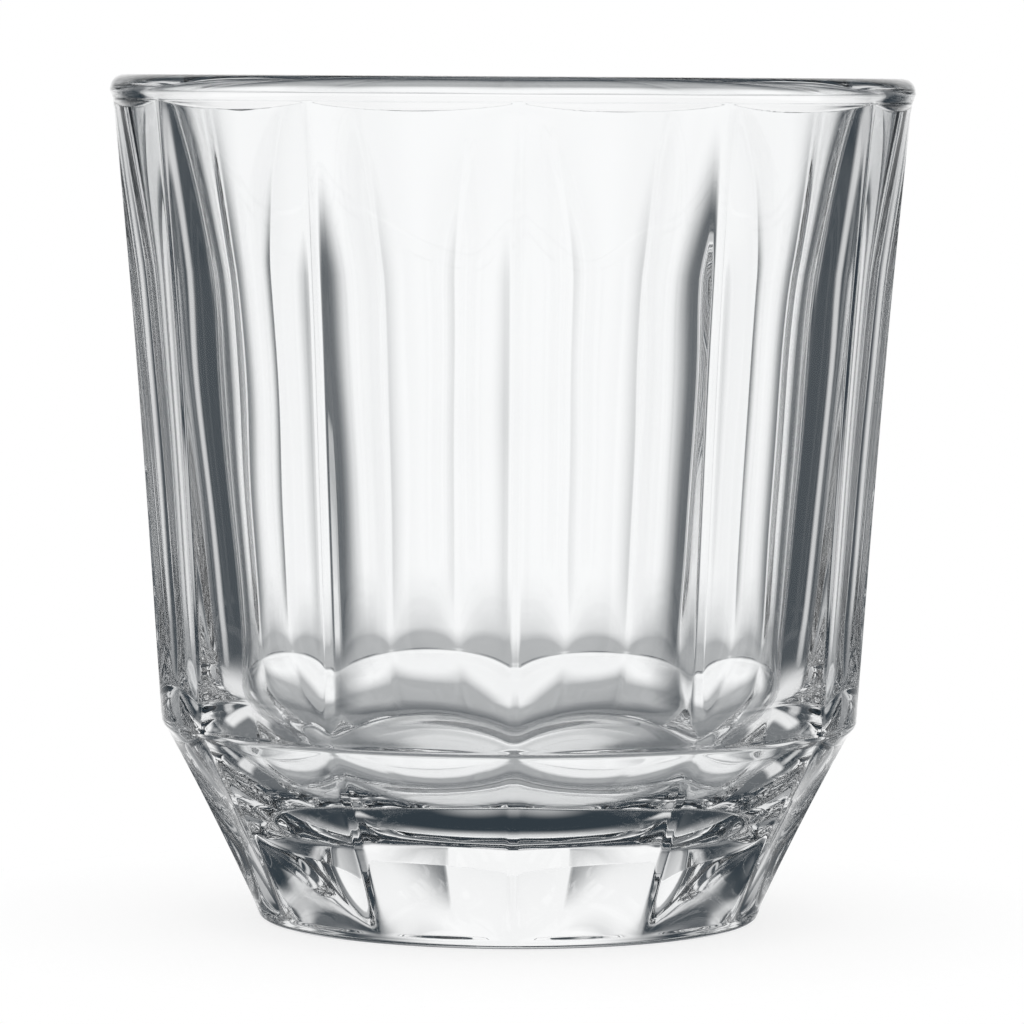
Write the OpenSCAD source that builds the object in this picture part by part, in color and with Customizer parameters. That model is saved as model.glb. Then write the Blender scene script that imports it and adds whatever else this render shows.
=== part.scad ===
// Small pressed-glass tumbler for a cortado. One solid piece of glass.
// Twelve shallow flutes run down the tapered wall and the foot. They fade out
// under the lip and sweep out to a round edge at the shoulder. Z is up and the
// foot rests on z = 0.

/* [Overall] */

// Overall height, from the resting ring to the top of the lip
height = 73.5; // [70:0.5:82]

// Number of flutes round the wall and the foot
flute_count = 12; // [8:1:16]

/* [Rim] */

// Widest diameter, across the rounded lip
rim_d = 70; // [66:0.5:76]

// Thickness of the rounded lip
lip_t = 2.5; // [2:0.1:3]

// Height of the plain band, from the top of the lip to the flutes
band_h = 2.2; // [2:0.1:4]

// How far the band is drawn in under the lip
neck_in = 0.25; // [0.1:0.05:0.5]

/* [Wall] */

// How far the ridges draw in from the rim to where the wall begins to flare
flare_in = 1.75; // [1:0.05:2.5]

// Depth below the rim at which the wall begins to flare and the flutes to fade out
fade_h = 17.7; // [14:0.1:22]

// How far the ridges draw in from there down to the shoulder
taper_in = 2.8; // [2:0.05:4]

// Radius of the hollow of a wall flute
flute_r = 75; // [60:1:140]

// Width of the rounded ridge between two flutes
ridge_w = 0.95; // [0.8:0.05:2]

// Depth of the small step where a flute ends under the band
step_in = 0.45; // [0.3:0.05:0.6]

// Height above the shoulder at which the wall flutes begin to sweep out to it
sweep_h = 9.3; // [6:0.1:14]

// Height of the round edge left standing at the shoulder
ring_h = 0.6; // [0.4:0.1:1.2]

// How far a flute's middle stays inside that round edge
ring_in = 0.1; // [0.05:0.05:0.3]

/* [Foot] */

// Height of the foot, from the resting ring to the shoulder
foot_h = 17.4; // [15:0.1:19]

// How far the ridges draw in from the shoulder to the bottom of the foot
foot_in = 8.75; // [6:0.05:10]

// How far the side of the foot is drawn in between its ends
foot_draw = 0.25; // [0.1:0.05:0.4]

// Radius across the hollow of a foot flute
foot_flute_r = 43; // [38:1:80]

// How far a foot flute is drawn in between its ends
foot_dip = 1.2; // [0.9:0.05:1.4]

// Height at which the foot flutes end above the heel
heel_h = 0.9; // [0.8:0.1:1.5]

// How far a foot flute's middle stays inside the heel
heel_in = 0.1; // [0.05:0.05:0.3]

// Rounding of the heel
heel_r = 0.9; // [0.4:0.1:1]

// Width of the flat ring that the foot rests on
rest_w = 4; // [2:0.25:6]

// Depth of the hollow under the foot
hollow_h = 0.5; // [0.3:0.1:1]

/* [Cavity] */

// Thickness of the glass under the cavity floor
base_t = 10; // [8:0.1:14]

// Thickness of the wall at the shoulder, over the ridges
wall_t = 4.8; // [3.5:0.1:5]

// Thickness of the wall where it begins to flare, over the ridges
upper_t = 3.3; // [2.5:0.1:4]

// Rounding between the cavity wall and its floor
floor_r = 13; // [8:0.1:13]

/* [Hidden] */

$fn = 180;

// Overrun of every cut past the face it opens
overrun = 1;

rim_r = rim_d / 2;
lip_r = lip_t / 2;
band_r = rim_r - neck_in;
flare_r = rim_r - flare_in;
shoulder_r = flare_r - taper_in;
foot_r = shoulder_r - foot_in;

band_z = height - band_h;
fade_z = height - fade_h;
lip_z = height - lip_r;
sweep_z = foot_h + sweep_h;
ring_top_z = foot_h + ring_h / 2;
ring_low_z = foot_h - ring_h / 2;

half_step = 180 / flute_count;
flute_w = 2 * rim_r * sin(half_step);

// Distance from the axis to the middle of a flute that leaves ridges at radius r
function flute_mid(r, hollow) = let (
    a = half_step - asin(ridge_w / 2 / r),
    half_chord = r * sin(a)
) r * cos(a) - hollow + sqrt(hollow * hollow - half_chord * half_chord);

// Radius of an arc that is tangent to a line and leaves it by rise over a length run
function sweep_radius(run, rise) = (run * run + rise * rise) / (2 * rise);

// Wall flute: its middle line at full depth, between the shoulder's sweep and the fade
sweep_ridge_r = shoulder_r + taper_in * sweep_h / (fade_z - foot_h);
mid_full = flute_mid(flare_r, flute_r);
mid_sweep = flute_mid(sweep_ridge_r, flute_r);
wall_tilt = atan2(mid_full - mid_sweep, fade_z - sweep_z);
wall_len = (fade_z - sweep_z) / cos(wall_tilt);

// Where that line ends under the band, along and across it
fade_out = band_r - step_in - mid_full;
fade_up = band_z - fade_z;
fade_u = fade_out * sin(wall_tilt) + fade_up * cos(wall_tilt);
fade_v = fade_out * cos(wall_tilt) - fade_up * sin(wall_tilt);

// Where it ends at the shoulder, along and across it
sweep_out = shoulder_r - ring_in - mid_sweep;
sweep_down = sweep_z - ring_top_z;
sweep_u = sweep_down * cos(wall_tilt) - sweep_out * sin(wall_tilt);
sweep_v = sweep_out * cos(wall_tilt) + sweep_down * sin(wall_tilt);
sweep_r = sweep_radius(sweep_u, sweep_v);

// Foot flute: its middle line from the heel to the shoulder, drawn in between them
slant = atan2(foot_in, foot_h);
heel_mid = foot_r + heel_h * tan(slant) - heel_in;
foot_run = shoulder_r - ring_h / 2 * tan(slant) - ring_in - heel_mid;
foot_tilt = atan2(foot_run, ring_low_z - heel_h);
foot_len = (ring_low_z - heel_h) / cos(foot_tilt);
dip_r = sweep_radius(foot_len / 2, foot_dip);

// Side of the foot over the ridges, drawn in between its ends
foot_slant = foot_h / cos(slant);
draw_r = sweep_radius(foot_slant / 2, foot_draw);

// Heel rounding, tangent to the resting plane and to the foot's slanted side
heel_x = foot_r + heel_r * tan(slant) - heel_r / cos(slant);

// Cavity wall in two tapers, and the rounding at its floor
bore_rim_r = rim_r - lip_t;
bore_flare_r = flare_r - upper_t;
bore_low_r = shoulder_r - wall_t;
bore_tilt = atan2(bore_flare_r - bore_low_r, fade_z - foot_h);
floor_z = base_t;
corner_z = floor_z + floor_r;
corner_x = bore_low_r + (corner_z - foot_h) * tan(bore_tilt) - floor_r / cos(bore_tilt);

// Sphere that makes the hollow under the foot, inside the resting ring
hollow_r = heel_x - rest_w;
dish_r = sweep_radius(hollow_r, hollow_h);

// Half profile of the glass before the flutes and the cavity are cut
module blank_profile() {
    difference() {
        polygon([
            [0, 0],
            [heel_x, 0],
            [heel_x + heel_r * cos(slant), heel_r - heel_r * sin(slant)],
            [shoulder_r, foot_h],
            [flare_r, fade_z],
            [band_r, band_z],
            [band_r, lip_z],
            [rim_r - lip_r, lip_z],
            [rim_r - lip_r, height],
            [0, height]
        ]);
        drawn_side();
    }
    translate([heel_x, heel_r]) circle(r = heel_r);
    translate([rim_r - lip_r, lip_z]) circle(r = lip_r);
}

// Large circle that draws the side of the foot in
module drawn_side() {
    translate([foot_r, 0])
        rotate(-slant)
            translate([draw_r - foot_draw, foot_slant / 2])
                circle(r = draw_r);
}

module blank() {
    rotate_extrude() blank_profile();
}

// One wall flute: a spindle whose axis stands outside the glass
module wall_flute() {
    translate([mid_full, 0, fade_z])
        rotate([0, wall_tilt, 0])
            translate([flute_r, 0, 0])
                rotate_extrude() {
                    polygon([
                        [0, -wall_len],
                        [flute_r, -wall_len],
                        [flute_r, 0],
                        [flute_r - fade_v, fade_u],
                        [0, fade_u]
                    ]);
                    translate([0, -wall_len]) swept_end();
                }
}

// Lower end of the wall flute's spindle, which narrows in an arc down to the shoulder
module swept_end() {
    difference() {
        translate([0, -sweep_u]) square([flute_r, sweep_u]);
        difference() {
            translate([flute_r - sweep_r, -sweep_r]) square([sweep_r, sweep_r]);
            translate([flute_r - sweep_r, 0]) circle(r = sweep_r);
        }
    }
}

// One foot flute: a barrel whose axis stands outside the glass
module foot_flute() {
    translate([heel_mid, 0, heel_h])
        rotate([0, foot_tilt, 0])
            translate([foot_flute_r, 0, 0])
                rotate_extrude()
                    intersection() {
                        square([foot_flute_r + foot_dip, foot_len]);
                        translate([foot_flute_r + foot_dip - dip_r, foot_len / 2]) circle(r = dip_r);
                    }
}

// All cuts in the side, each kept to its own stretch of the round
module flutes() {
    for (i = [0 : flute_count - 1])
        rotate([0, 0, (i * 2 + 1) * half_step])
            intersection() {
                translate([0, -flute_w / 2, 0])
                    cube([rim_r + overrun, flute_w, height]);
                union() {
                    wall_flute();
                    foot_flute();
                }
            }
}

// The cavity: two tapers and a rounded floor
module cavity() {
    rotate_extrude() {
        polygon([
            [0, floor_z],
            [corner_x, floor_z],
            [corner_x + floor_r * cos(bore_tilt), corner_z - floor_r * sin(bore_tilt)],
            [bore_flare_r, fade_z],
            [bore_rim_r, lip_z],
            [0, lip_z]
        ]);
        intersection() {
            translate([corner_x, corner_z]) circle(r = floor_r);
            square([bore_flare_r, corner_z]);
        }
        difference() {
            translate([0, lip_z - overrun]) square([rim_r - lip_r, lip_r + 2 * overrun]);
            translate([bore_rim_r, lip_z - 2 * overrun]) square([lip_r, 2 * overrun]);
            translate([rim_r - lip_r, lip_z]) circle(r = lip_r);
        }
    }
}

// The shallow hollow under the foot
module foot_hollow() {
    rotate_extrude()
        intersection() {
            translate([0, hollow_h - dish_r]) circle(r = dish_r);
            translate([0, -overrun]) square([hollow_r + overrun, hollow_h + overrun]);
        }
}

module tumbler() {
    color([0.86, 0.92, 0.93, 0.35])
        difference() {
            blank();
            flutes();
            cavity();
            foot_hollow();
        }
}

tumbler();
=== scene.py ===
"""Cortado glass: one piece of clear pressed glass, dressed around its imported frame.

Twelve shallow flutes run down the tapered wall and the foot. They fade out into
a plain round band under the lip, and end at a round edge at the shoulder and at
the heel. Lengths are in metres, Z is up.
"""

import logging
import math
from collections.abc import Iterator
from dataclasses import dataclass, field
from enum import Enum

import bpy
from mathutils import Matrix, Vector, noise


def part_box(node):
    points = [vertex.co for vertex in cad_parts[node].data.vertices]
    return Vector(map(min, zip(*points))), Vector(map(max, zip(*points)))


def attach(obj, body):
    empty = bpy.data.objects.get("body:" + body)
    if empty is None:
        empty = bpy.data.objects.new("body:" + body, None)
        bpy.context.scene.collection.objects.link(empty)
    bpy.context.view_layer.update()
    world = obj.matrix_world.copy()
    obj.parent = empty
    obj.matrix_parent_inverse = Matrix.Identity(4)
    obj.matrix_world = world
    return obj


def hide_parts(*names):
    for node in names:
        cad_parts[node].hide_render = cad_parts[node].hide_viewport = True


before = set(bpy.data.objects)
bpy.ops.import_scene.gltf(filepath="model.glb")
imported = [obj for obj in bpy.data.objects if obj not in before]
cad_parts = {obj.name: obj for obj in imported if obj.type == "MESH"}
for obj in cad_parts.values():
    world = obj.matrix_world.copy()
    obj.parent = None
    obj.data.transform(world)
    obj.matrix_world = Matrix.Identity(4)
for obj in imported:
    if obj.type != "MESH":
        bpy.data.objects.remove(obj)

MM = 0.001
NODE = "tumbler"
BODY = "root"
EDGE_GAP = 0.015 * MM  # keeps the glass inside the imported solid's box

# Sockets of a Mix node in its colour mode, whose names repeat: factor, two colours, result
MIX_INPUTS = (0, 6, 7)
MIX_RESULT = 2

log = logging.getLogger("cortado_glass")


def smooth_min(a: float, b: float, blend: float) -> float:
    """Return the smaller of two values, rounded where they cross.

    Args:
        a: First value.
        b: Second value.
        blend: Difference under which the crossing is rounded.

    Returns:
        The rounded minimum.
    """
    near = max(blend - abs(a - b), 0.0)
    return min(a, b) - near * near / (4 * blend)


def smooth_max(a: float, b: float, blend: float) -> float:
    """Return the larger of two values, rounded where they cross.

    Args:
        a: First value.
        b: Second value.
        blend: Difference under which the crossing is rounded.

    Returns:
        The rounded maximum.
    """
    return -smooth_min(-a, -b, blend)


def steps(start: float, stop: float, count: int) -> Iterator[float]:
    """Yield evenly spaced values from start on, with stop left out.

    Args:
        start: First value.
        stop: The value after the last.
        count: How many values.

    Yields:
        The values in order.
    """
    for i in range(count):
        yield start + (stop - start) * i / count


def arch(share: float, rise: float) -> float:
    """Return the height of a shallow arch at a share of its span."""
    return 4 * rise * share * (1 - share)


@dataclass
class Rim:
    """The rounded lip and the plain band under it."""

    top: float
    radius: float
    lip_t: float = 2.5 * MM
    band_h: float = 2.2 * MM
    neck_in: float = 0.25 * MM
    neck_blend: float = 0.1 * MM

    @property
    def lip_r(self) -> float:
        """Radius of the rounded lip."""
        return self.lip_t / 2

    @property
    def lip_z(self) -> float:
        """Height of the lip circle's centre."""
        return self.top - self.lip_r

    @property
    def band_r(self) -> float:
        """Radius of the plain band."""
        return self.radius - self.neck_in

    @property
    def band_z(self) -> float:
        """Height of the band's lower edge."""
        return self.top - self.band_h

    def lip_point(self, turn: float) -> tuple[float, float]:
        """Return radius and height on the lip.

        Args:
            turn: Angle round the lip, 0 at the outside and pi at the inside.

        Returns:
            Radius and height.
        """
        r = self.radius - self.lip_r + self.lip_r * math.cos(turn)
        z = self.lip_z + self.lip_r * math.sin(turn)
        if turn < 0:
            r = smooth_max(r, self.band_r, self.neck_blend)
        return r, z

    @property
    def neck_turn(self) -> float:
        """Angle on the lip at which the band begins."""
        return -math.acos((self.band_r - self.radius + self.lip_r) / self.lip_r)


@dataclass
class Ridges:
    """The profile that the ridges follow, from the heel to the band."""

    rim: Rim
    flare_in: float = 1.75 * MM
    flare_h: float = 17.7 * MM
    taper_in: float = 2.8 * MM
    wall_draw: float = 0.08 * MM
    foot_h: float = 17.4 * MM
    foot_in: float = 8.75 * MM
    foot_draw: float = 0.25 * MM
    heel_r: float = 0.9 * MM
    shoulder_blend: float = 0.3 * MM
    flare_blend: float = 0.1 * MM

    @property
    def flare_r(self) -> float:
        """Ridge radius where the wall begins to flare."""
        return self.rim.radius - self.flare_in

    @property
    def flare_z(self) -> float:
        """Height above which the wall flares out more."""
        return self.rim.top - self.flare_h

    @property
    def shoulder_r(self) -> float:
        """Ridge radius at the shoulder."""
        return self.flare_r - self.taper_in

    @property
    def foot_r(self) -> float:
        """Ridge radius at the resting plane."""
        return self.shoulder_r - self.foot_in

    @property
    def slant(self) -> float:
        """Angle of the foot's side from the upright."""
        return math.atan2(self.foot_in, self.foot_h)

    @property
    def heel_x(self) -> float:
        """Radius at which the heel rounding leaves the resting plane."""
        return self.foot_r + self.heel_r * (math.tan(self.slant) - 1 / math.cos(self.slant))

    @property
    def heel_z(self) -> float:
        """Height at which the heel rounding meets the foot's side."""
        return self.heel_r * (1 - math.sin(self.slant))

    @property
    def mid_wall_z(self) -> float:
        """Height half way up the lower taper, below which the flare has no say."""
        return (self.foot_h + self.flare_z) / 2

    def wall(self, z: float) -> float:
        """Return the ridge radius of the wall.

        Args:
            z: Height.

        Returns:
            Radius over the ridges, where the two tapers meet softly.
        """
        up = (z - self.foot_h) / (self.flare_z - self.foot_h)
        low = self.shoulder_r + self.taper_in * up - arch(up, self.wall_draw)
        rise = (z - self.flare_z) / (self.rim.band_z - self.flare_z)
        high = self.flare_r + (self.rim.band_r - self.flare_r) * rise
        return smooth_max(low, high, self.flare_blend) if z > self.mid_wall_z else low

    def foot(self, z: float) -> float:
        """Return the ridge radius of the foot at height z."""
        up = z / self.foot_h
        return self.foot_r + self.foot_in * up - arch(up, self.foot_draw)

    def radius(self, z: float) -> float:
        """Return the radius over the ridges at height z."""
        return smooth_min(self.wall(z), self.foot(z), self.shoulder_blend)

    def heel_point(self, turn: float) -> tuple[float, float]:
        """Return radius and height on the heel rounding.

        Args:
            turn: Angle from straight down, towards the outside.

        Returns:
            Radius and height.
        """
        return (
            self.heel_x + self.heel_r * math.sin(turn),
            self.heel_r * (1 - math.cos(turn)),
        )


@dataclass
class Flutes:
    """The twelve flutes, and the round edges at which they end."""

    ridges: Ridges
    count: int = 12
    ridge_w: float = 0.95 * MM
    fade_h: float = 16.5 * MM
    fade_blend: float = 0.1 * MM
    wall_hollow: float = 75.0 * MM
    foot_deep: float = 0.42 * MM
    step_in: float = 0.47 * MM
    sweep_z: float = 28.0 * MM
    sweep_power: float = 2.0
    ring_in: float = 0.1 * MM
    ring_h: float = 0.3 * MM
    heel_in: float = 0.1 * MM
    heel_h: float = 0.9 * MM
    flat: float = 0.0001 * MM
    edge_blend: float = 0.08 * MM
    ring_blend: float = 0.05 * MM

    @property
    def half_step(self) -> float:
        """Angle from a ridge to the middle of a flute."""
        return math.pi / self.count

    def land_angle(self, ridge_r: float) -> float:
        """Return half the angle of a ridge's rounded land."""
        return math.asin(self.ridge_w / 2 / ridge_r)

    def edge(self, ridge_r: float) -> tuple[float, float]:
        """Return the place of a land's edge, seen from the flute's middle plane."""
        a = self.half_step - self.land_angle(ridge_r)
        return ridge_r * math.cos(a), ridge_r * math.sin(a)

    def middle(self, ridge_r: float, hollow: float) -> float:
        """Return the distance from the axis to the middle of a full flute."""
        x, y = self.edge(ridge_r)
        return x - hollow + math.sqrt(hollow * hollow - y * y)

    @property
    def fade_z(self) -> float:
        """Height at which the flutes reach full depth."""
        return self.ridges.rim.top - self.fade_h

    def end_sag(self, round_r: float) -> float:
        """Return the sag that puts a flute's middle on a round edge of this radius."""
        x, _ = self.edge(round_r)
        return x - round_r

    def wall_sag(self, z: float, ridge_r: float) -> float:
        """Return how far a wall flute's middle lies inside its chord.

        Args:
            z: Height.
            ridge_r: Radius over the ridges there.

        Returns:
            The sag, which runs out under the band and at the shoulder.
        """
        rim, ridges = self.ridges.rim, self.ridges
        x, _ = self.edge(ridge_r)
        full = x - self.middle(ridge_r, self.wall_hollow)
        top = self.end_sag(rim.band_r) + self.step_in
        rise = (z - self.fade_z) / (rim.band_z - self.fade_z)
        low = self.end_sag(ridges.shoulder_r) + self.ring_in
        drop = max(self.sweep_z - z, 0.0) / (self.sweep_z - ridges.foot_h)
        sag = smooth_min(full, full + (top - full) * rise, self.fade_blend)
        return min(sag, full + (low - full) * drop**self.sweep_power)

    def foot_sag(self, z: float) -> float:
        """Return how far a foot flute's middle lies inside its chord.

        Args:
            z: Height.

        Returns:
            The sag, deepest between the heel and the shoulder.
        """
        ridges = self.ridges
        low = self.end_sag(ridges.foot(self.heel_h)) + self.heel_in
        high = self.end_sag(ridges.shoulder_r) + self.ring_in
        up = (z - self.heel_h) / (ridges.foot_h - self.heel_h)
        return low + (high - low) * up + arch(up, self.foot_deep - (low + high) / 2)

    def flute_radius(self, z: float, ridge_r: float, off: float) -> float:
        """Return the radius of a flute's surface.

        Args:
            z: Height.
            ridge_r: Radius over the ridges there.
            off: Angle from the flute's middle.

        Returns:
            Distance from the axis.
        """
        x, y = self.edge(ridge_r)
        low = z < self.ridges.foot_h
        sag = self.foot_sag(z) if low else self.wall_sag(z, ridge_r)
        if abs(sag) < self.flat:
            sag = self.flat
        mid = x - sag
        curve = 2 * sag / (y * y + sag * sag)
        lean = (curve * mid + 1) * math.cos(off)
        reach = curve * mid * mid + 2 * mid
        return reach / (lean + math.sqrt(lean * lean - curve * reach))

    def ring_radius(self, z: float) -> float:
        """Return the radius of the round edges that the flutes don't cut through.

        Args:
            z: Height.

        Returns:
            Radius of the nearest edge, which falls off steeply away from it.
        """
        ridges = self.ridges
        shoulder = ridges.shoulder_r - max(0.0, abs(z - ridges.foot_h) - self.ring_h / 2)
        heel = ridges.foot(self.heel_h) - max(0.0, z - self.heel_h)
        band = ridges.rim.band_r - max(0.0, ridges.rim.band_z - z)
        return max(shoulder, heel, band)

    def radius(self, z: float, ridge_r: float, off: float) -> float:
        """Return the glass's outer radius.

        Args:
            z: Height.
            ridge_r: Radius over the ridges there.
            off: Angle from the nearest flute's middle.

        Returns:
            Distance from the axis.
        """
        cut = smooth_max(self.flute_radius(z, ridge_r, off), self.ring_radius(z), self.ring_blend)
        return smooth_min(ridge_r, cut, self.edge_blend)


@dataclass
class Cavity:
    """The inside of the glass: a tapered wall and a rounded floor."""

    ridges: Ridges
    base_t: float = 10.0 * MM
    wall_t: float = 4.8 * MM
    flare_t: float = 3.3 * MM
    flare_h: float = 16.5 * MM
    flare_blend: float = 0.3 * MM
    floor_r: float = 13.0 * MM
    ripple: float = 0.14 * MM
    ripple_len: float = 12.0 * MM
    ripple_rows: int = 4

    @property
    def top_r(self) -> float:
        """Radius at the lip."""
        return self.ridges.rim.radius - self.ridges.rim.lip_t

    @property
    def low_r(self) -> float:
        """Radius of the wall at the height of the shoulder."""
        return self.ridges.shoulder_r - self.wall_t

    @property
    def flare_z(self) -> float:
        """Height above which the wall flares out more."""
        return self.ridges.rim.top - self.flare_h

    @property
    def flare_r(self) -> float:
        """Radius of the wall where it begins to flare."""
        return self.ridges.radius(self.flare_z) - self.flare_t

    @property
    def tilt(self) -> float:
        """Angle of the lower wall from the upright."""
        return math.atan2(self.flare_r - self.low_r, self.flare_z - self.ridges.foot_h)

    @property
    def corner(self) -> tuple[float, float]:
        """The centre of the floor rounding.

        Returns:
            Radius and height.
        """
        z = self.base_t + self.floor_r
        rise = (z - self.ridges.foot_h) * math.tan(self.tilt)
        return self.low_r + rise - self.floor_r / math.cos(self.tilt), z

    def wall(self, z: float) -> float:
        """Return the radius of the cavity's wall.

        Args:
            z: Height.

        Returns:
            Radius, where the two tapers meet softly.
        """
        low = self.low_r + (z - self.ridges.foot_h) * math.tan(self.tilt)
        rise = (z - self.flare_z) / (self.ridges.rim.lip_z - self.flare_z)
        high = self.flare_r + (self.top_r - self.flare_r) * rise
        return smooth_max(low, high, self.flare_blend)

    def points(self, wall_n: int, corner_n: int, floor_n: int) -> Iterator[tuple[float, float]]:
        """Yield radius and height down the wall, round the corner and across the floor.

        Args:
            wall_n: Rows on the wall.
            corner_n: Rows on the rounding.
            floor_n: Rows on the floor.

        Yields:
            Radius and height of each row.
        """
        corner_r, corner_z = self.corner
        end_z = corner_z - self.floor_r * math.sin(self.tilt)
        for z in steps(self.ridges.rim.lip_z, end_z, wall_n):
            yield self.wall(z), z
        for turn in steps(self.tilt, math.pi / 2, corner_n):
            yield (
                corner_r + self.floor_r * math.cos(turn),
                corner_z - self.floor_r * math.sin(turn),
            )
        for r in steps(corner_r, 0.0, floor_n):
            yield r, self.base_t

    def rippled(self, point: Vector, row: int) -> Vector:
        """Return a point moved by the slight ripple of pressed glass.

        Args:
            point: A point of the smooth inside.
            row: Its row, from the lip on. The ripple sets in over the first rows.

        Returns:
            The moved point.
        """
        out = Vector((point.x, point.y, 0.0))
        if out.length == 0:
            return point
        share = min(row / self.ripple_rows, 1.0)
        amount = self.ripple * share * noise.noise(point / self.ripple_len)
        return point + out.normalized() * amount


@dataclass
class Foot:
    """The resting ring and the shallow hollow under the foot."""

    ridges: Ridges
    rest_w: float = 4.0 * MM
    hollow_h: float = 0.5 * MM

    def points(self, hollow_n: int, rest_n: int) -> Iterator[tuple[float, float]]:
        """Yield radius and height from the middle of the hollow out to the heel.

        Args:
            hollow_n: Rows in the hollow.
            rest_n: Rows on the resting ring.

        Yields:
            Radius and height of each row.
        """
        hollow_r = self.ridges.heel_x - self.rest_w
        dish_r = (hollow_r**2 + self.hollow_h**2) / (2 * self.hollow_h)
        for r in steps(0.0, hollow_r, hollow_n):
            if r > 0:
                yield r, self.hollow_h - dish_r + math.sqrt(dish_r**2 - r * r)
        for r in steps(hollow_r, self.ridges.heel_x, rest_n):
            yield r, 0.0


@dataclass
class Rows:
    """How many rows of faces each stretch of the glass has."""

    hollow: int = 8
    rest: int = 3
    heel: int = 8
    heel_band: int = 14
    foot: int = 26
    shoulder: int = 26
    sweep: int = 16
    wall: int = 18
    fade: int = 20
    ledge: int = 18
    lip: int = 26
    cavity_wall: int = 26
    cavity_corner: int = 30
    cavity_floor: int = 6


@dataclass
class Columns:
    """How the columns of faces are spread over half a flute."""

    land: int = 5
    flute: int = 10
    land_ease: float = 1.6
    flute_ease: float = 2.2

    def angles(self, land: float, half_step: float) -> list[float]:
        """Return angles from a ridge's middle to the next ridge's, the last left out.

        Args:
            land: Half the angle of the ridge's land.
            half_step: Angle from a ridge to the middle of a flute.

        Returns:
            The angles in rising order.
        """
        half = [land * (1 - (1 - t) ** self.land_ease) for t in steps(0.0, 1.0, self.land)]
        half += [
            land + (half_step - land) * t**self.flute_ease for t in steps(0.0, 1.0, self.flute)
        ]
        back = [2 * half_step - a for a in reversed(half[1:])]
        return [*half, half_step, *back]


@dataclass
class Tumbler:
    """The whole glass as one closed mesh."""

    top: float
    rim_r: float
    rows: Rows = field(default_factory=Rows)
    columns: Columns = field(default_factory=Columns)
    zone: float = 1.5 * MM

    def __post_init__(self) -> None:
        """Build the sub-shapes from the driving sizes."""
        self.rim = Rim(self.top, self.rim_r)
        self.ridges = Ridges(self.rim)
        self.flutes = Flutes(self.ridges)
        self.cavity = Cavity(self.ridges)
        self.foot = Foot(self.ridges)

    def side_heights(self) -> Iterator[float]:
        """Yield the heights of the rows from the heel to the lip.

        Yields:
            Heights, closest together where the surface turns most.
        """
        ridges, rows = self.ridges, self.rows
        marks = [
            (ridges.heel_z, rows.heel_band),
            (self.flutes.heel_h + self.zone, rows.foot),
            (ridges.foot_h - self.zone, rows.shoulder),
            (ridges.foot_h + self.zone, rows.sweep),
            (self.flutes.sweep_z, rows.wall),
            (self.flutes.fade_z, rows.fade),
            (self.rim.band_z - self.zone / 2, rows.ledge),
            (self.rim.lip_point(self.rim.neck_turn)[1], 0),
        ]
        for (low, count), (high, _) in zip(marks, marks[1:]):
            yield from steps(low, high, count)

    def ring(self, r: float, z: float) -> list[Vector]:
        """Return a plain round row of points, with the columns where the flutes have them."""
        return [Vector((r * math.cos(a), r * math.sin(a), z)) for a in self.directions(r)]

    def directions(self, ridge_r: float) -> list[float]:
        """Return the directions of all columns, from the front ridge on.

        Args:
            ridge_r: Radius over the ridges, which sets how wide their lands look.

        Returns:
            Angles round the axis.
        """
        step = 2 * self.flutes.half_step
        land = self.flutes.land_angle(max(ridge_r, self.ridges.foot_r))
        pitch = self.columns.angles(land, self.flutes.half_step)
        return [-math.pi / 2 + k * step + a for k in range(self.flutes.count) for a in pitch]

    def fluted_ring(self, z: float) -> list[Vector]:
        """Return a row of points on the fluted side.

        Args:
            z: Height.

        Returns:
            The points in the order of the columns.
        """
        ridge_r = self.ridges.radius(z)
        half = self.flutes.half_step
        points = []
        for a in self.directions(ridge_r):
            off = (a + math.pi / 2) % (2 * half) - half
            r = self.flutes.radius(z, ridge_r, off)
            points.append(Vector((r * math.cos(a), r * math.sin(a), z)))
        return points

    def all_rings(self) -> list[list[Vector]]:
        """Return every row of points.

        Returns:
            Rows from under the foot, up the side, over the lip and down to the cavity floor.
        """
        rows, ridges = self.rows, self.ridges
        rings = [self.ring(r, z) for r, z in self.foot.points(rows.hollow, rows.rest)]
        heel_end = math.pi / 2 - ridges.slant
        rings += [self.ring(*ridges.heel_point(t)) for t in steps(0.0, heel_end, rows.heel)]
        rings += [self.fluted_ring(z) for z in self.side_heights()]
        turns = steps(self.rim.neck_turn, math.pi, rows.lip)
        rings += [self.ring(*self.rim.lip_point(t)) for t in turns]
        inside = self.cavity.points(rows.cavity_wall, rows.cavity_corner, rows.cavity_floor)
        for row, (r, z) in enumerate(inside):
            rings.append([self.cavity.rippled(p, row) for p in self.ring(r, z)])
        return rings

    def build(self) -> bpy.types.Object:
        """Build the mesh object.

        Returns:
            The object, linked to the scene.
        """
        rings = self.all_rings()
        n = len(rings[0])
        points = [p for ring in rings for p in ring]
        bottom, floor = len(points), len(points) + 1
        points += [Vector((0, 0, self.foot.hollow_h)), Vector((0, 0, self.cavity.base_t))]
        faces = []
        for i in range(len(rings) - 1):
            a, b = i * n, (i + 1) * n
            faces += [(a + j, a + (j + 1) % n, b + (j + 1) % n, b + j) for j in range(n)]
        last = (len(rings) - 1) * n
        faces += [((j + 1) % n, j, bottom) for j in range(n)]
        faces += [(last + j, last + (j + 1) % n, floor) for j in range(n)]
        mesh = bpy.data.meshes.new("glass_tumbler")
        mesh.from_pydata(points, [], faces)
        mesh.shade_smooth()
        mesh.validate()
        piece = bpy.data.objects.new("glass_tumbler", mesh)
        bpy.context.scene.collection.objects.link(piece)
        log.info("glass_tumbler: %d points, %d faces", len(points), len(faces))
        return piece


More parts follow.
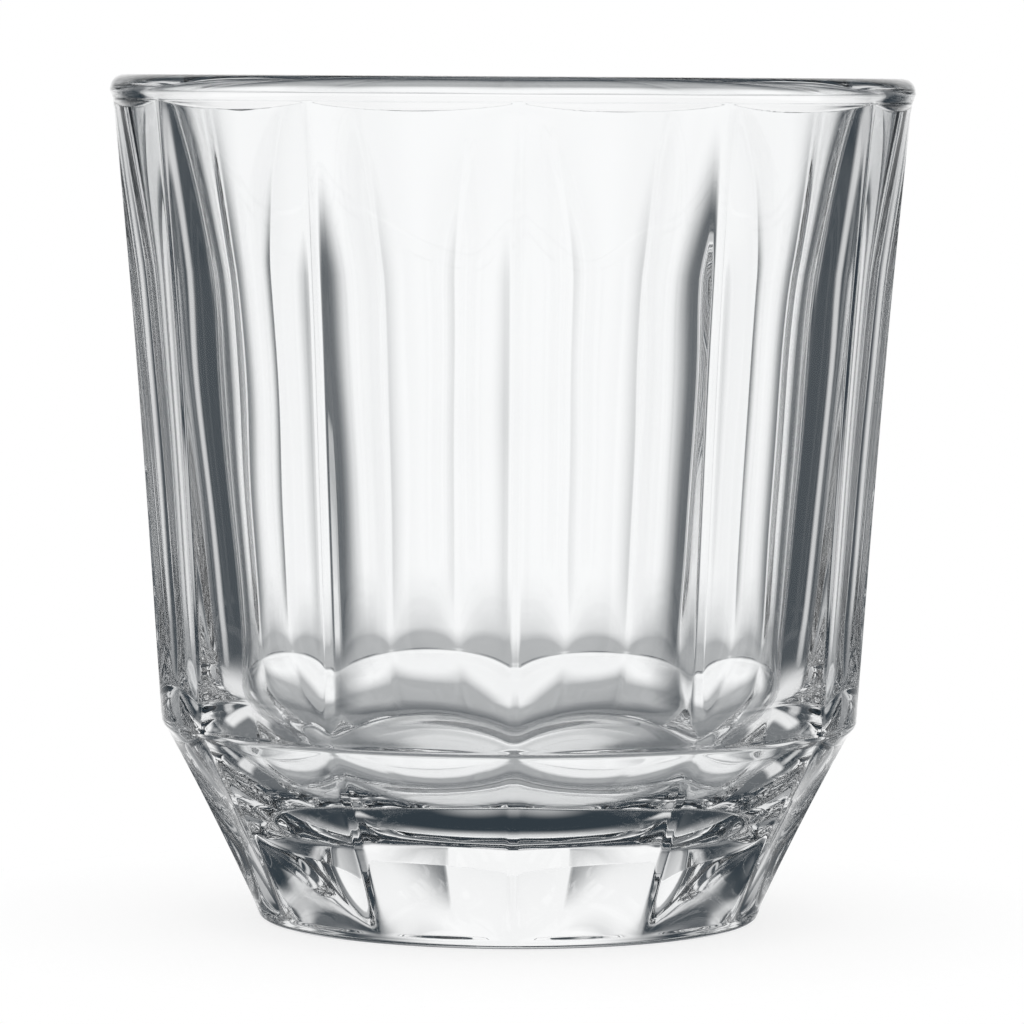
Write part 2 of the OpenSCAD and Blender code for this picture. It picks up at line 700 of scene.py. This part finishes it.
@dataclass(frozen=True)
class ClearGlass:
    """Clear pressed soda glass, smooth and all but colourless."""

    tint: tuple[float, float, float] = (0.992, 0.997, 0.999)
    index: float = 1.52
    roughness: float = 0.0

    def material(self) -> bpy.types.Material:
        """Make the glass material.

        Returns:
            The material.
        """
        mat = bpy.data.materials.new("clear_pressed_glass")
        mat.use_nodes = True
        nodes, links = mat.node_tree.nodes, mat.node_tree.links
        nodes.clear()
        out = nodes.new("ShaderNodeOutputMaterial")
        shader = nodes.new("ShaderNodeBsdfPrincipled")
        shader.inputs["Base Color"].default_value = (*self.tint, 1.0)
        shader.inputs["Metallic"].default_value = 0.0
        shader.inputs["Roughness"].default_value = self.roughness
        shader.inputs["IOR"].default_value = self.index
        shader.inputs["Transmission Weight"].default_value = 1.0
        links.new(shader.outputs["BSDF"], out.inputs["Surface"])
        return mat


class Op(Enum):
    """The operations of a Math node that the studio uses."""

    LARGER = "MAXIMUM"
    TIMES = "MULTIPLY"
    HEADING = "ARCTAN2"
    SIZE = "ABSOLUTE"
    ARCSINE = "ARCSINE"
    DEGREES = "DEGREES"


class NodeMaths:
    """Small helper that chains Math nodes in a node tree."""

    def __init__(self, tree: bpy.types.NodeTree) -> None:
        """Keep the tree that the nodes go into."""
        self.tree = tree

    def math(self, operation: Op, *values: bpy.types.NodeSocket | float) -> bpy.types.NodeSocket:
        """Add one Math node.

        Args:
            operation: What it works out.
            values: Numbers or sockets for its inputs.

        Returns:
            The output socket.
        """
        node = self.tree.nodes.new("ShaderNodeMath")
        node.operation = operation.value
        for i, value in enumerate(values):
            if isinstance(value, bpy.types.NodeSocket):
                self.tree.links.new(value, node.inputs[i])
            else:
                node.inputs[i].default_value = value
        return node.outputs[0]

    def soft_step(
        self, value: bpy.types.NodeSocket, over: tuple[float, float], first: float, last: float
    ) -> bpy.types.NodeSocket:
        """Add a smooth step from one result to another.

        Args:
            value: The measured value.
            over: The values between which the result changes.
            first: Result up to the first of them.
            last: Result from the second on.

        Returns:
            The output socket.
        """
        node = self.tree.nodes.new("ShaderNodeMapRange")
        node.interpolation_type = "SMOOTHSTEP"
        self.tree.links.new(value, node.inputs["Value"])
        node.inputs["From Min"].default_value = over[0]
        node.inputs["From Max"].default_value = over[1]
        node.inputs["To Min"].default_value = first
        node.inputs["To Max"].default_value = last
        return node.outputs["Result"]

    def blend(
        self,
        share: bpy.types.NodeSocket,
        first: bpy.types.NodeSocket,
        second: bpy.types.NodeSocket,
    ) -> bpy.types.NodeSocket:
        """Add a blend of two shaders.

        Args:
            share: How much of the second shader shows.
            first: First shader.
            second: Second shader.

        Returns:
            The output socket.
        """
        node = self.tree.nodes.new("ShaderNodeMixShader")
        for i, socket in enumerate((share, first, second)):
            self.tree.links.new(socket, node.inputs[i])
        return node.outputs["Shader"]

    def plain_sight(self) -> bpy.types.NodeSocket:
        """Add the test for rays that haven't met the glass.

        Returns:
            A socket that is 1 for camera rays and for light that a matt surface gathers.
        """
        path = self.tree.nodes.new("ShaderNodeLightPath")
        return self.math(Op.LARGER, path.outputs["Is Camera Ray"], path.outputs["Is Diffuse Ray"])


@dataclass(frozen=True)
class Screen:
    """A white screen with soft edges, as the glass sees it.

    Each edge is a pair of angles in degrees: nothing at the first, full at the second
    for the near and the low edge, and the other way round for the far and the high one.
    Angles are from straight behind the glass, to either side, and from the horizon.
    """

    white: float
    near: tuple[float, float]
    far: tuple[float, float]
    low: tuple[float, float]
    high: tuple[float, float]

    def add(
        self, maths: NodeMaths, turn: bpy.types.NodeSocket, height: bpy.types.NodeSocket
    ) -> bpy.types.NodeSocket:
        """Add the nodes that say how white the screen is in each direction.

        Args:
            maths: Helper of the world's node tree.
            turn: Angle from straight behind the glass.
            height: Angle above the horizon.

        Returns:
            The output socket.
        """
        lit = maths.soft_step(turn, self.near, 0.0, self.white)
        lit = maths.math(Op.TIMES, lit, maths.soft_step(turn, self.far, 1.0, 0.0))
        lit = maths.math(Op.TIMES, lit, maths.soft_step(height, self.low, 0.0, 1.0))
        return maths.math(Op.TIMES, lit, maths.soft_step(height, self.high, 1.0, 0.0))


# Edges that leave a screen whole straight behind the glass and straight in front of it,
# and the upper edge that most screens share
START = (-2.0, -1.0)
END = (181.0, 182.0)
TOP = (33.5, 35.0)

SCREENS = {
    "main": Screen(1.0, START, (9.0, 29.0), (-22.0, -7.0), TOP),
    "main_low": Screen(0.42, START, (9.0, 29.0), (-46.0, -20.0), TOP),
    "main_top": Screen(1.0, START, (17.0, 37.0), (-4.0, 14.0), TOP),
    "wings": Screen(0.05, START, (28.0, 40.0), (-43.0, -20.0), TOP),
    "strips": Screen(0.6, (40.0, 45.5), (48.5, 54.0), (-30.0, -12.0), TOP),
    "sides": Screen(0.85, (74.0, 83.0), (106.0, 118.0), (-20.0, -8.0), TOP),
    "front": Screen(0.75, (130.0, 150.0), END, (-36.0, -12.0), TOP),
    "ground": Screen(0.8, (28.0, 38.0), END, (-37.0, -31.0), (-24.0, -18.5)),
    "rear": Screen(0.8, (106.0, 122.0), END, (-24.0, -18.0), (-8.0, -2.0)),
    "nadir": Screen(0.45, START, END, (-92.0, -91.0), (-90.0, -68.0)),
}


@dataclass(frozen=True)
class Studio:
    """White screens round the glass and dark slate gaps between them.

    The gaps draw the glass's edges. The camera itself sees plain white all round.
    """

    white: tuple[float, float, float] = (1.0, 1.0, 1.0)
    gap: tuple[float, float, float] = (0.022, 0.034, 0.045)
    least: float = 0.005

    def build(self) -> None:
        """Make the world."""
        world = bpy.data.worlds.new("studio")
        bpy.context.scene.world = world
        world.use_nodes = True
        tree = world.node_tree
        tree.nodes.clear()
        maths = NodeMaths(tree)
        turn, height = self.look(maths)
        lit = maths.math(Op.LARGER, maths.plain_sight(), self.least)
        for screen in SCREENS.values():
            lit = maths.math(Op.LARGER, lit, screen.add(maths, turn, height))
        back = tree.nodes.new("ShaderNodeBackground")
        out = tree.nodes.new("ShaderNodeOutputWorld")
        tree.links.new(self.colour(tree, lit), back.inputs["Color"])
        tree.links.new(back.outputs["Background"], out.inputs["Surface"])

    def look(self, maths: NodeMaths) -> tuple[bpy.types.NodeSocket, bpy.types.NodeSocket]:
        """Add the nodes that measure which way a ray goes.

        Args:
            maths: Helper of the world's node tree.

        Returns:
            Angle from straight behind the glass and angle above the horizon, in degrees.
        """
        where = maths.tree.nodes.new("ShaderNodeTexCoord")
        split = maths.tree.nodes.new("ShaderNodeSeparateXYZ")
        maths.tree.links.new(where.outputs["Generated"], split.inputs[0])
        heading = maths.math(Op.HEADING, split.outputs["X"], split.outputs["Y"])
        turn = maths.math(Op.DEGREES, maths.math(Op.SIZE, heading))
        height = maths.math(Op.DEGREES, maths.math(Op.ARCSINE, split.outputs["Z"]))
        return turn, height

    def colour(self, tree: bpy.types.NodeTree, lit: bpy.types.NodeSocket) -> bpy.types.NodeSocket:
        """Add the mix between the gaps' slate and the screens' white.

        Args:
            tree: The world's node tree.
            lit: How white it is in a direction.

        Returns:
            The colour's socket.
        """
        mix = tree.nodes.new("ShaderNodeMix")
        mix.data_type = "RGBA"
        factor, first, second = (mix.inputs[i] for i in MIX_INPUTS)
        tree.links.new(lit, factor)
        first.default_value = (*self.gap, 1.0)
        second.default_value = (*self.white, 1.0)
        return mix.outputs[MIX_RESULT]


@dataclass(frozen=True)
class Table:
    """Round pale table top that the glass stands on.

    Light that has been through the glass passes on through it to the studio below, but
    for a painted soft spot of light in the middle, in place of the light that the foot
    gathers, and a painted soft ring of light round the foot, in place of the table lit
    where the glass no longer shades it.
    """

    radius: float = 0.055
    sides: int = 96
    colour: float = 0.3
    glow: float = 0.76
    # Painted light: a white glow in a spot under the foot's middle, in place of the light that
    # the foot gathers
    painted_spot_light: float = 0.45
    painted_spot_edge: tuple[float, float] = (8.0 * MM, 12.5 * MM)
    # Painted light: a faint white ring round the foot, in place of the table lit where the glass
    # no longer shades it
    painted_halo_light: float = 0.12
    painted_halo_start: tuple[float, float] = (20.0 * MM, 26.0 * MM)
    painted_halo_end: tuple[float, float] = (40.0 * MM, 54.0 * MM)

    def build(self) -> None:
        """Make the table top and give it its material."""
        mesh = bpy.data.meshes.new("table_top")
        turn = 2 * math.pi / self.sides
        points = [
            (self.radius * math.cos(i * turn), self.radius * math.sin(i * turn), 0.0)
            for i in range(self.sides)
        ]
        mesh.from_pydata(points, [], [tuple(range(self.sides))])
        top = bpy.data.objects.new("table_top", mesh)
        bpy.context.scene.collection.objects.link(top)
        mesh.materials.append(self.material())
        log.info("table_top: %d sides", self.sides)

    def material(self) -> bpy.types.Material:
        """Make the pale matt material, which lets light from the glass through, but for a painted
        spot and ring of light.

        Returns:
            The material.
        """
        mat = bpy.data.materials.new("pale_table")
        mat.use_nodes = True
        tree = mat.node_tree
        shader = tree.nodes["Principled BSDF"]
        shader.inputs["Base Color"].default_value = (self.colour, self.colour, self.colour, 1.0)
        shader.inputs["Roughness"].default_value = 1.0
        shader.inputs["Specular IOR Level"].default_value = 0.0
        shader.inputs["Emission Color"].default_value = (1.0, 1.0, 1.0, 1.0)
        shader.inputs["Emission Strength"].default_value = self.glow
        maths = NodeMaths(tree)
        clear = tree.nodes.new("ShaderNodeBsdfTransparent").outputs["BSDF"]
        painted_light_glow = tree.nodes.new("ShaderNodeEmission").outputs["Emission"]
        # Painted light: a white glow instead of the studio below, where the painted spot and ring
        # are
        through = maths.blend(self.painted_light(maths), clear, painted_light_glow)
        surface = maths.blend(maths.plain_sight(), through, shader.outputs["BSDF"])
        tree.links.new(surface, tree.nodes["Material Output"].inputs["Surface"])
        return mat

    def painted_light(self, maths: NodeMaths) -> bpy.types.NodeSocket:
        """Add the nodes that paint light on the table for rays from the glass.

        Args:
            maths: Helper of the material's node tree.

        Returns:
            The painted light's socket.
        """
        place = maths.tree.nodes.new("ShaderNodeNewGeometry")
        away = maths.tree.nodes.new("ShaderNodeVectorMath")
        away.operation = "LENGTH"
        maths.tree.links.new(place.outputs["Position"], away.inputs[0])
        reach = away.outputs["Value"]
        # Painted light: a spot in the middle and a ring round the foot, by distance from the
        # table's centre
        painted_spot_light = maths.soft_step(reach, self.painted_spot_edge, self.painted_spot_light, 0.0)
        painted_halo_light = maths.soft_step(reach, self.painted_halo_start, 0.0, self.painted_halo_light)
        end = maths.soft_step(reach, self.painted_halo_end, 1.0, 0.0)
        return maths.math(Op.LARGER, painted_spot_light, maths.math(Op.TIMES, painted_halo_light, end))


@dataclass(frozen=True)
class Camera:
    """Long lens at rim height, tilted a little down."""

    distance: float = 0.550
    azimuth: float = math.radians(-0.82)
    tilt: float = math.radians(3.95)
    yaw: float = math.radians(-0.014)
    roll: float = math.radians(0.35)
    focal_px: float = 6310.0
    frame_px: float = 1024.0
    sensor: float = 36.0
    clip: tuple[float, float] = (0.01, 10.0)

    def build(self, eye_height: float) -> None:
        """Make the camera.

        Args:
            eye_height: Height of the lens.
        """
        data = bpy.data.cameras.new("camera")
        data.sensor_width = self.sensor
        data.lens = self.focal_px * self.sensor / self.frame_px
        data.clip_start, data.clip_end = self.clip
        camera = bpy.data.objects.new("camera", data)
        turn = Matrix.Rotation(self.azimuth + self.yaw, 4, "Z")
        tip = Matrix.Rotation(math.pi / 2 - self.tilt, 4, "X")
        lean = Matrix.Rotation(self.roll, 4, "Z")
        out = Matrix.Rotation(self.azimuth, 4, "Z") @ Vector((0, -self.distance, eye_height))
        camera.matrix_world = Matrix.Translation(out) @ turn @ tip @ lean
        bpy.context.scene.collection.objects.link(camera)
        bpy.context.scene.camera = camera


@dataclass(frozen=True)
class LightBounces:
    """How often light may bend or bounce, which thick glass needs in number."""

    total: int = 20
    transmission: int = 20
    glossy: int = 12
    diffuse: int = 3

    def apply(self) -> None:
        """Set the scene's limits."""
        cycles = bpy.context.scene.cycles
        cycles.max_bounces = self.total
        cycles.transmission_bounces = self.transmission
        cycles.glossy_bounces = self.glossy
        cycles.diffuse_bounces = self.diffuse


def main() -> None:
    """Build the glass, its material and its studio."""
    logging.basicConfig(level=logging.INFO, format="%(name)s: %(message)s")
    scene = bpy.context.scene
    scene.view_settings.view_transform = "Standard"
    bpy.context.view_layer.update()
    low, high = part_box(NODE)
    glass = Tumbler(top=high[2], rim_r=(high[0] - low[0]) / 2 - EDGE_GAP)
    Camera().build(glass.top)
    LightBounces().apply()
    Studio().build()
    Table().build()
    piece = glass.build()
    piece.data.materials.append(ClearGlass().material())
    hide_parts(NODE)
    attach(piece, BODY)


if __name__ == "__main__":
    main()
